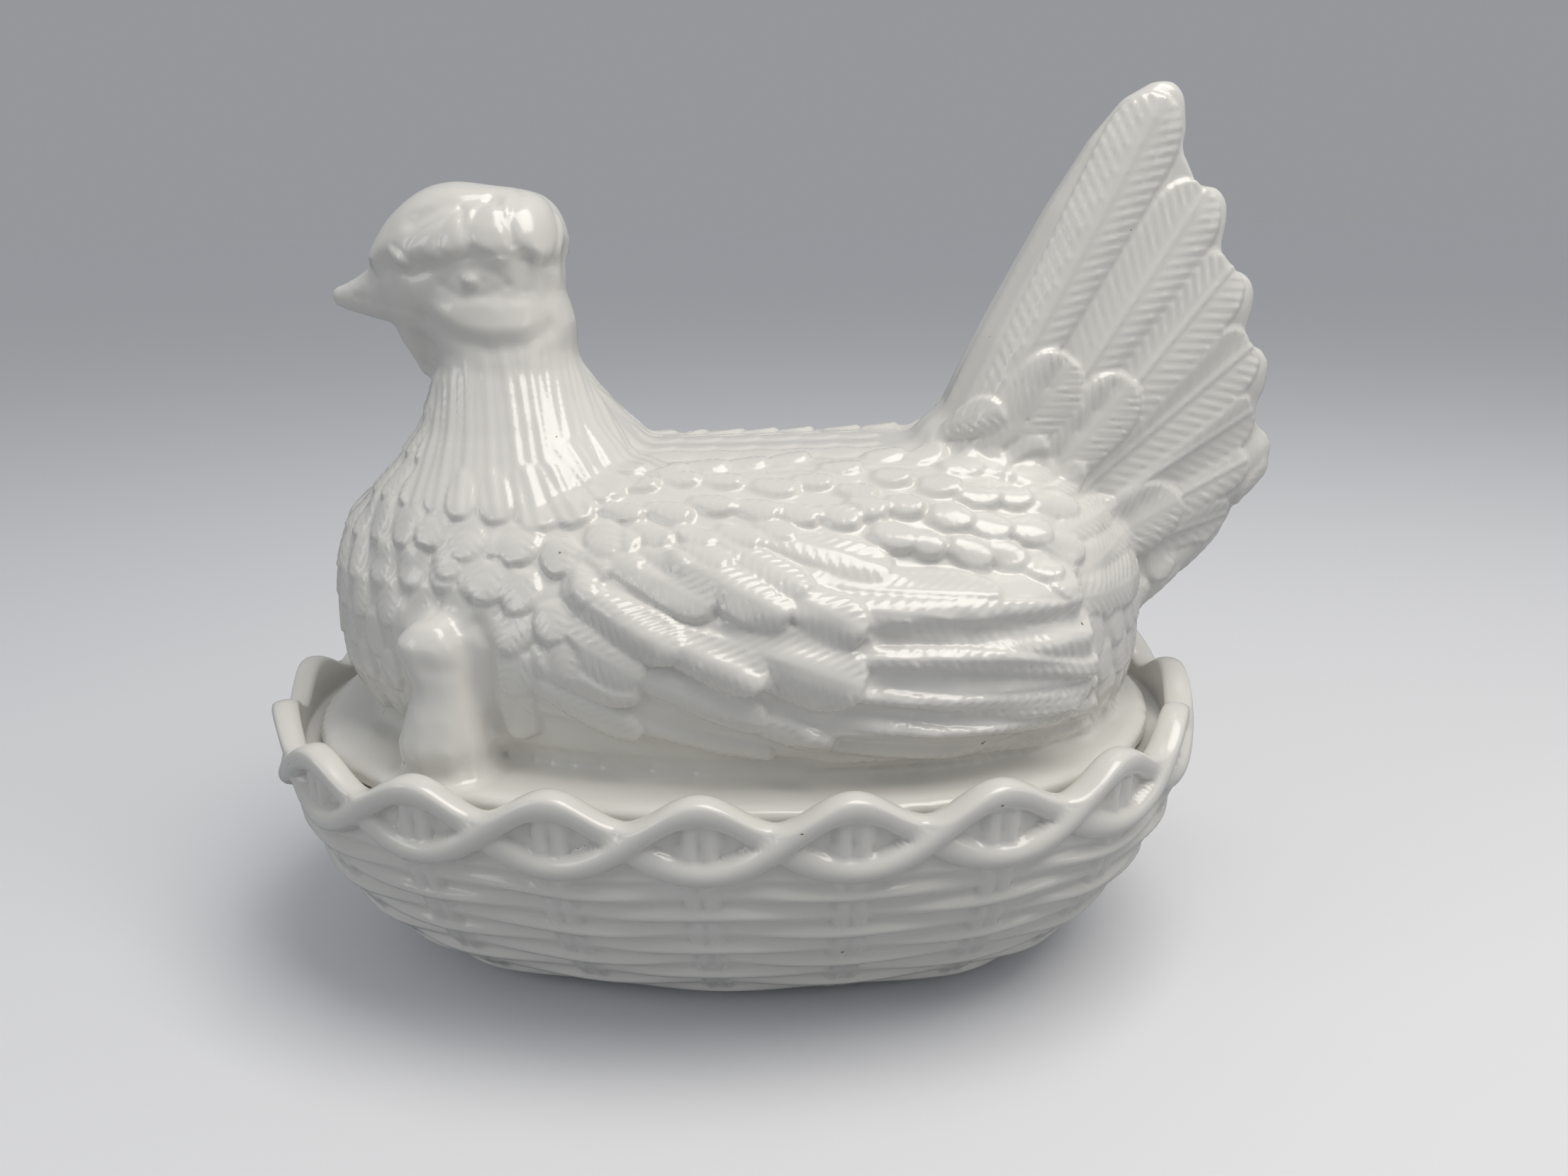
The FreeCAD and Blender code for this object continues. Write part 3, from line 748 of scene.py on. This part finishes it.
paint_seen("covert", WING_COVERTS)
print("wing painted, relief", relief.max())

# %% [markdown]
# ## The back, the shoulder and the breast
#
# Small feathers run in rows over the back, from the lowest row up. The rows round the front of
# the breast are the guessed ones, and the larger scales that the photograph shows beside the
# neck and behind the chick come last, so that they lie over both.

# %% Paint the back and the breast
BACK_ROWS = [
    (34, ((962, 760), (902, 766), (842, 770), (790, 776))),
    (26, ((1068, 738), (1008, 738), (948, 736), (888, 738), (830, 740))),
    (18, ((1148, 712), (1088, 708), (1028, 706), (968, 704), (908, 706), (852, 712))),
    (8, ((1180, 682), (1118, 678), (1056, 676), (994, 674), (932, 674), (872, 680))),
    (-2, ((1150, 652), (1088, 650), (1024, 650), (960, 650), (900, 656)))]
BREAST_SCALES = [
    (735, 975, 722, 1040, 66), (742, 918, 726, 978, 74), (790, 900, 812, 958, 66),
    (722, 868, 706, 932, 76), (775, 845, 790, 905, 72), (690, 792, 672, 856, 74),
    (742, 800, 734, 868, 74), (812, 800, 838, 862, 72), (640, 770, 626, 826, 62),
    (790, 760, 800, 822, 70), (670, 735, 656, 802, 68), (735, 738, 730, 806, 74),
    (612, 735, 596, 782, 54), (845, 735, 866, 790, 66)]
paint_seen("scale", in_rows(66, 50, BACK_ROWS))
paint_round(middle=-40, way_x=-1, reach=48, rows=9, lean=1.5)
paint_seen("scale", BREAST_SCALES)
print("body painted, relief", relief.max())

# %% [markdown]
# ## The neck and the comb
#
# Hackle feathers are long and grooved, and fall from the head to a hem of rounded lobes. The
# comb is a cap of swept lobes. The whole head stands a little higher than the solid's, because
# the smoothing took some of it away.

# %% Paint the neck and the comb
HEAD_RISE = 1.2
HACKLES = [
    (600, 560, 548, 700, 44), (615, 540, 580, 716, 46), (840, 540, 935, 662, 50),
    (632, 520, 614, 728, 46), (820, 520, 886, 690, 60), (655, 512, 652, 732, 46),
    (680, 505, 694, 738, 50), (790, 505, 838, 722, 66), (708, 500, 738, 742, 54),
    (748, 500, 784, 744, 60)]
HEM = [
    (650, 660, 648, 736, 50), (690, 660, 704, 742, 56), (838, 590, 912, 664, 66),
    (740, 655, 764, 750, 66), (800, 620, 868, 704, 74), (776, 650, 822, 740, 72)]
COMB_LOBES = [
    (548, 350, 578, 378, 34), (628, 316, 584, 368, 48), (666, 292, 632, 364, 60),
    (714, 276, 690, 362, 72), (756, 258, 748, 368, 84)]
paint_seen("hackle", HACKLES)
paint_seen("hem", HEM)
relief += HEAD_RISE * smooth_step(160, 168, near[:, 2]) * smooth_step(-26, -34, near[:, 0])
paint_seen("lobe", COMB_LOBES)
print("neck and comb painted, relief", relief.min(), relief.max())

# %% [markdown]
# ## The face, in soft lines
#
# The eye, the cheek, the beak's edge and the folds of the comb are only pressed into the clay,
# so a second tool draws them: a line through pixels, with a depth and a half width in
# millimetres. A negative depth raises the skin, as for the bead of the eye.

# %% Press the lines of the face
FACE_LINES = [
    (0.8, 2.4, [(600, 448), (640, 474), (690, 490), (740, 484), (778, 462)]),
    (-0.4, 3.0, [(612, 440), (650, 462), (690, 470), (735, 464)]),
    (0.30, 1.1, [(622, 402), (642, 382), (670, 376), (698, 384), (716, 402)]),
    (0.22, 1.1, [(622, 402), (648, 418), (684, 418), (716, 402)]),
    (-1.3, 1.9, [(663, 397), (666, 397)]),
    (0.40, 0.9, [(649, 396), (664, 382), (680, 396), (665, 411), (649, 398)]),
    (0.25, 1.2, [(505, 421), (535, 428), (570, 437), (600, 446)]),
    (0.6, 1.7, [(552, 378), (582, 386), (612, 376), (652, 363), (700, 360), (742, 362),
                (784, 372)]),
    (0.6, 1.2, [(702, 284), (712, 312), (723, 344)]),
    (0.6, 1.2, [(652, 292), (654, 322), (660, 350)]),
    (1.0, 2.6, [(582, 312), (606, 298), (640, 287), (698, 278)]),
]


def press(depth, width, pixels):
    """Presses (or, with a negative depth, raises) a soft line through pixels."""
    points = [seen_at(u, v)[0] for u, v in pixels]
    best = np.full(len(near), 1e9)
    for start, end in zip(points, points[1:]):
        if start is None or end is None:
            continue
        line = end - start
        t = np.clip((near - start) @ line / (line @ line), 0, 1)
        best = np.minimum(best, ((near - start - t[:, None] * line) ** 2).sum(1))
    relief[:] -= depth * np.exp(-best / width**2)


for line in FACE_LINES:
    press(*line)
print("face pressed, relief", relief.min(), relief.max())

# %% [markdown]
# ## The chick
#
# A chick peeps out under the wing. The solid has its shape, and the real one is smooth, so the
# feathers fade out round it. Two soft lines set it off from the breast and part its head from
# its body.

# %% Smooth the chick
CHICK = (-63.0, -53.0)
CHICK_RADIUS, CHICK_TOP = (15.5, 12.5), (108, 104)
CHICK_EDGE = [(672, 880), (690, 915), (694, 960), (696, 1000), (700, 1026)]
CHICK_NECK = [(600, 946), (622, 950), (640, 948)]
at_chick = np.hypot(near[:, 0] - CHICK[0], near[:, 1] - CHICK[1])
still = smooth_step(*CHICK_RADIUS, at_chick) * smooth_step(*CHICK_TOP, near[:, 2])
relief = relief * (1 - still) + 0.9 * still
press(1.0, 1.9, CHICK_EDGE)
press(0.5, 2.6, CHICK_NECK)
print("vertices on the chick:", int((still > 0.5).sum()))

# %% [markdown]
# ## Putting the relief on
#
# The relief moves each vertex along its normal. A little less than its mean is taken off, so
# that the hen keeps the outline of the solid, and nothing may pass the solid's box. The flange
# and its flat underside stay as they are, because the cover has to sit on the ledge.

# %% Move the skin by the relief
SKIN_DROP = 1.1
body = smooth_step(67.5, 71.0, base[:, 2])
plain = smooth_step(69.5, 66.5, near[:, 2])
carved = base + grain * ((relief - SKIN_DROP) * (1 - plain) * body)[:, None]
corner_low, corner_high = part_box("hen_cover")
carved = np.clip(carved, from_metres(corner_low), from_metres(corner_high))
put(outside, carved)
print("carved", np.abs(relief).max())

# %% [markdown]
# ## The hollow
#
# The plug from before cuts the hollow out again. The manifold solver is fast and exact on two
# closed solids. Smooth shading by angle keeps the corner at the mouth sharp and rounds all
# else.

# %% Cut out the hollow
SHARP = 50


def join_by(obj, tool, operation):
    """Applies a boolean of two closed solids."""
    change = obj.modifiers.new("change", "BOOLEAN")
    change.object, change.operation, change.solver = tool, operation, "MANIFOLD"
    bpy.context.view_layer.objects.active = obj
    bpy.ops.object.modifier_apply(modifier="change")


join_by(outside, hollow, "DIFFERENCE")
bpy.ops.object.select_all(action="DESELECT")
outside.select_set(True)
bpy.ops.object.shade_smooth_by_angle(angle=math.radians(SHARP))
print("hollow cut out:", len(outside.data.polygons), "faces")

# %% [markdown]
# ## Parting the hen into lighter pieces
#
# The real hen is one casting, but one mesh of half a million triangles is heavy to handle, so
# she is cut into five closed pieces with flat faces where they meet.

# %% Cut the hen into pieces
FAR = 400
BEHIND_NECK, UNDER_HEAD, UNDER_TAIL = -20, 150, 141
parts = {
    "hen_head": ((-FAR, BEHIND_NECK), (-FAR, FAR), (UNDER_HEAD, FAR)),
    "hen_tail": ((BEHIND_NECK, FAR), (-FAR, FAR), (UNDER_TAIL, FAR)),
    "hen_breast": ((-FAR, BEHIND_NECK), (-FAR, FAR), (0, UNDER_HEAD)),
    "hen_left": ((BEHIND_NECK, FAR), (-FAR, 0), (0, UNDER_TAIL)),
    "hen_right": ((BEHIND_NECK, FAR), (0, FAR), (0, UNDER_TAIL)),
}


def block(x, y, z):
    """A box between pairs of limits in millimetres."""
    bpy.ops.mesh.primitive_cube_add(size=1)
    made = bpy.context.object
    made.scale = ((x[1] - x[0]) * MM, (y[1] - y[0]) * MM, (z[1] - z[0]) * MM)
    made.location = ((sum(x) / 2 + SHIFT) * MM, sum(y) / 2 * MM, sum(z) / 2 * MM)
    bpy.ops.object.transform_apply(location=True, rotation=False, scale=True)
    return made


hens = []
for name, limits in parts.items():
    tool = block(*limits)
    piece = outside.copy()
    piece.data = outside.data.copy()
    piece.name = name
    bpy.context.scene.collection.objects.link(piece)
    join_by(piece, tool, "INTERSECT")
    bpy.data.objects.remove(tool)
    hens.append(piece)
    print(name, len(piece.data.polygons), "faces")

# %% [markdown]
# A cut leaves a crease, because the shading at its edge no longer knows the surface beyond.
# Each piece therefore borrows the shading of the uncut hen, and the joints can't be seen.

# %% Borrow the shading
for piece in hens:
    bpy.context.view_layer.objects.active = piece
    borrow = piece.modifiers.new("borrow", "DATA_TRANSFER")
    borrow.object = outside
    borrow.use_loop_data = True
    borrow.data_types_loops = {"CUSTOM_NORMAL"}
    borrow.loop_mapping = "POLYINTERP_NEAREST"
    bpy.ops.object.modifier_apply(modifier="borrow")
bpy.data.objects.remove(outside)
bpy.data.objects.remove(hollow)
print("shading borrowed by", len(hens), "pieces")

# %% [markdown]
# ## Shader sums
#
# A material is a tree of nodes, and a long list of links is hard to read. `Shade` wraps one
# socket, so that sums are written like sums: an expression on it adds its Math nodes. Any other
# node comes from `node`, which sets the node up first and then fills its sockets.

# %% A class for shader sums
class Shade:
    """A socket of a shader, with the operators that are used here."""

    def __init__(self, tree, socket=None):
        self.tree, self.socket = tree, socket

    def fill(self, node, values):
        """Gives values or links to sockets of a node."""
        for name, value in values.items():
            if isinstance(value, Shade):
                self.tree.links.new(value.socket, node.inputs[name])
            else:
                node.inputs[name].default_value = value

    def node(self, kind, settings, values, output=0):
        """Adds a node with its settings and its sockets' values, and gives one output."""
        made = self.tree.nodes.new(kind)
        for name, value in settings.items():
            setattr(made, name, value)
        self.fill(made, values)
        return Shade(self.tree, made.outputs[output])

    def maths(self, operation, first, second):
        """A Math node of two values."""
        return self.node("ShaderNodeMath", {"operation": operation}, {0: first, 1: second})

    def __sub__(self, other):
        return self.maths("SUBTRACT", self, other)

    def __rsub__(self, other):
        return self.maths("SUBTRACT", other, self)

    def __mul__(self, other):
        return self.maths("MULTIPLY", self, other)

    __rmul__ = __mul__

    def __gt__(self, other):
        return self.maths("GREATER_THAN", self, other)


print("operators", [name for name in vars(Shade) if name.startswith("__r")])

# %% [markdown]
# ## The glaze
#
# The clay is covered by a thick, glossy white glaze. It isn't quite even: a slow noise makes
# it a touch greyer in places, and a fine one, cut off high, leaves a few iron specks. Both read
# Object coordinates, so that they stay with the piece. A thin coat over a softer gloss gives
# the sharp window lights that lie on a wide sheen.

# %% Make the glaze
GLAZE_WARM, GLAZE_GREY = (0.76, 0.75, 0.71, 1), (0.71, 0.70, 0.66, 1)
SPECK_COLOUR, SPECK_LIMIT = (0.30, 0.24, 0.18, 1), 0.90
MIX_COLOUR_A, MIX_COLOUR_B, MIX_COLOUR_OUT = 6, 7, 2


def noise(shade, scale, detail):
    """A noise over the object's own coordinates."""
    where = shade.node("ShaderNodeTexCoord", {}, {}, "Object")
    return shade.node("ShaderNodeTexNoise", {},
                      {"Scale": scale, "Detail": detail, "Vector": where}, "Fac")


def mixed(shade, share, first, second):
    """A colour between two, by a share."""
    return shade.node("ShaderNodeMix", {"data_type": "RGBA"},
                      {"Factor": share, MIX_COLOUR_A: first, MIX_COLOUR_B: second},
                      MIX_COLOUR_OUT)


def make_glaze(name):
    """The white glaze, as a material of the given name."""
    made = bpy.data.materials.new(name)
    made.use_nodes = True
    shade = Shade(made.node_tree)
    slow = (noise(shade, 18, 2) - 0.35) * 2.4
    white = mixed(shade, slow, GLAZE_WARM, GLAZE_GREY)
    speck = noise(shade, 420, 0) > SPECK_LIMIT
    shade.fill(made.node_tree.nodes["Principled BSDF"], {
        "Base Color": mixed(shade, speck, white, SPECK_COLOUR), "Roughness": 0.26,
        "IOR": 1.5, "Coat Weight": 0.4, "Coat Roughness": 0.06})
    return made


dish.data.materials.append(make_glaze("dish_glaze"))
cover_glaze = make_glaze("cover_glaze")
for piece in hens:
    piece.data.materials.clear()
    piece.data.materials.append(cover_glaze)
print("glazes", [m.name for m in bpy.data.materials])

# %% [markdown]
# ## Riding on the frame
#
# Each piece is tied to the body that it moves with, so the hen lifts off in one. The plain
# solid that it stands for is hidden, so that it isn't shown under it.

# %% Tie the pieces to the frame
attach(dish, "dish")
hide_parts("nest_dish")
for piece in hens:
    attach(piece, "cover")
    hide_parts("hen_cover")

# %% [markdown]
# ## A plain table
#
# White pottery needs a calm table. The floor is one pale disc, wide enough to reach the
# horizon. What the camera sees of it and what it throws back at the pottery are chosen apart:
# a camera ray finds a pale grey, and every other ray a darker one, so that the underside of
# the basket stays in shade as it does on a patterned cloth.

# %% Lay the floor
FLOOR_RADIUS, FLOOR_GAP = 30, 0.0002
FLOOR_SEEN, FLOOR_LIT = (0.82, 0.83, 0.86, 1), (0.40, 0.41, 0.44, 1)


def by_camera_ray(shade, others, seen):
    """One shader for camera rays and another for all other rays."""
    ray = shade.node("ShaderNodeLightPath", {}, {}, "Is Camera Ray")
    return shade.node("ShaderNodeMixShader", {}, {"Fac": ray, 1: others, 2: seen})


bpy.ops.mesh.primitive_circle_add(vertices=96, radius=FLOOR_RADIUS, fill_type="NGON")
floor = bpy.context.object
floor.name = "floor"
floor.location.z = -FLOOR_GAP
paper = bpy.data.materials.new("floor")
paper.use_nodes = True
nodes, shade = paper.node_tree.nodes, Shade(paper.node_tree)
shown = nodes["Principled BSDF"]
shade.fill(shown, {"Base Color": FLOOR_SEEN, "Roughness": 0.8})
calm = shade.node("ShaderNodeBsdfDiffuse", {}, {"Color": FLOOR_LIT})
both = by_camera_ray(shade, calm, Shade(paper.node_tree, shown.outputs["BSDF"]))
shade.fill(nodes["Material Output"], {"Surface": both})
floor.data.materials.append(paper)
print("floor laid")

# %% [markdown]
# ## Soft studio light
#
# The key lamp hangs nearly overhead, as a ceiling light over a table, and draws the small
# bright windows on the glaze. A cooler one on the left stands for a window, and a weak one
# fills the right. A target and a quaternion aim each lamp without a constraint.

# %% Hang the lamps
def lamp(name, place, aim, size, power, colour):
    """A soft rectangular lamp that points at a place."""
    bpy.ops.object.light_add(type="AREA", location=place)
    made = bpy.context.object
    made.name = name
    made.data.shape = "RECTANGLE"
    made.data.size, made.data.size_y = size
    made.data.energy = power
    made.data.color = colour
    made.rotation_mode = "QUATERNION"
    made.rotation_quaternion = (Vector(aim) - Vector(place)).to_track_quat("-Z", "Y")


lamp("key", (0.31, -0.20, 0.96), (0.02, 0, 0.1), (0.5, 0.7), 5.9, (1.0, 0.96, 0.90))
lamp("window", (-1.1, -0.7, 0.75), (0, 0, 0.1), (0.5, 0.5), 1.6, (0.94, 0.97, 1.0))
lamp("fill", (1.2, -0.6, 0.5), (0, 0, 0.1), (0.5, 0.5), 0.8, (1.0, 0.98, 0.95))
print("lamps placed")

# %% [markdown]
# The world adds an even light from all sides. To the camera it shows the grey that the floor
# has at the horizon, so that no line parts the two.

# %% Light the world
SKY_LIGHT, SKY_STRENGTH = (0.90, 0.92, 0.95, 1), 0.40
SKY_SEEN = (0.302, 0.311, 0.330, 1)
world = bpy.data.worlds.new("studio")
bpy.context.scene.world = world
world.use_nodes = True
nodes, shade = world.node_tree.nodes, Shade(world.node_tree)
soft = nodes["Background"]
shade.fill(soft, {"Color": SKY_LIGHT, "Strength": SKY_STRENGTH})
pale = shade.node("ShaderNodeBackground", {}, {"Color": SKY_SEEN})
both = by_camera_ray(shade, Shade(world.node_tree, soft.outputs["Background"]), pale)
shade.fill(nodes["World Output"], {"Surface": both})
bpy.context.scene.view_settings.view_transform = "Standard"
print("world", world.name)

# %% [markdown]
# ## Finishing
#
# The scene is brought up to date at the end.

# %% Finish
bpy.context.view_layer.update()
